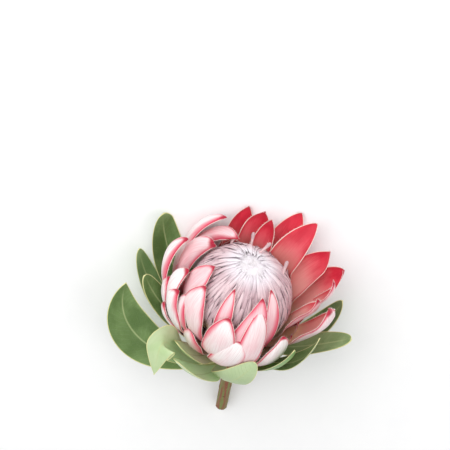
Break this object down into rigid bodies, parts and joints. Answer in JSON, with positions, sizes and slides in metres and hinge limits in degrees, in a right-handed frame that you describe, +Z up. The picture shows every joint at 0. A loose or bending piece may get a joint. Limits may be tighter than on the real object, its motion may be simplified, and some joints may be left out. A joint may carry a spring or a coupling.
{
  "type": "cut protea flower",
  "caption": "Cut king-type protea lying on its side: an open head of pink and white bracts round a pale dome of florets, with leathery leaves and a short thick stem",
  "frame": {"origin": "the middle of the whole flower's footprint, on the surface that it lies on", "axes": "+Z up from the surface; -Y towards the open end of the head, +Y towards the cut end of the stem; +X to the side of the larger leaves"},
  "size_m": [0.2654, 0.2622, 0.132],
  "materials": {
    "stem": "matt woody skin, reddish green, with the scars of stripped leaves",
    "bract": "leathery, finely hairy and silvery white outside, satin coral red inside",
    "floret": "soft silky hairs, white at the top and lilac grey lower down",
    "leaf": "smooth leathery green with a low sheen and a thin yellow rim"
  },
  "bodies": {
    "root": {"stem": "stem", "bracts": "bract", "florets": "floret", "leaf_01": "leaf", "leaf_02": "leaf", "leaf_03": "leaf", "leaf_04": "leaf", "leaf_05": "leaf", "leaf_06": "leaf", "leaf_07": "leaf", "leaf_08": "leaf", "leaf_09": "leaf", "leaf_10": "leaf", "leaf_11": "leaf", "leaf_12": "leaf", "leaf_13": "leaf"}
  },
  "joints": []
}
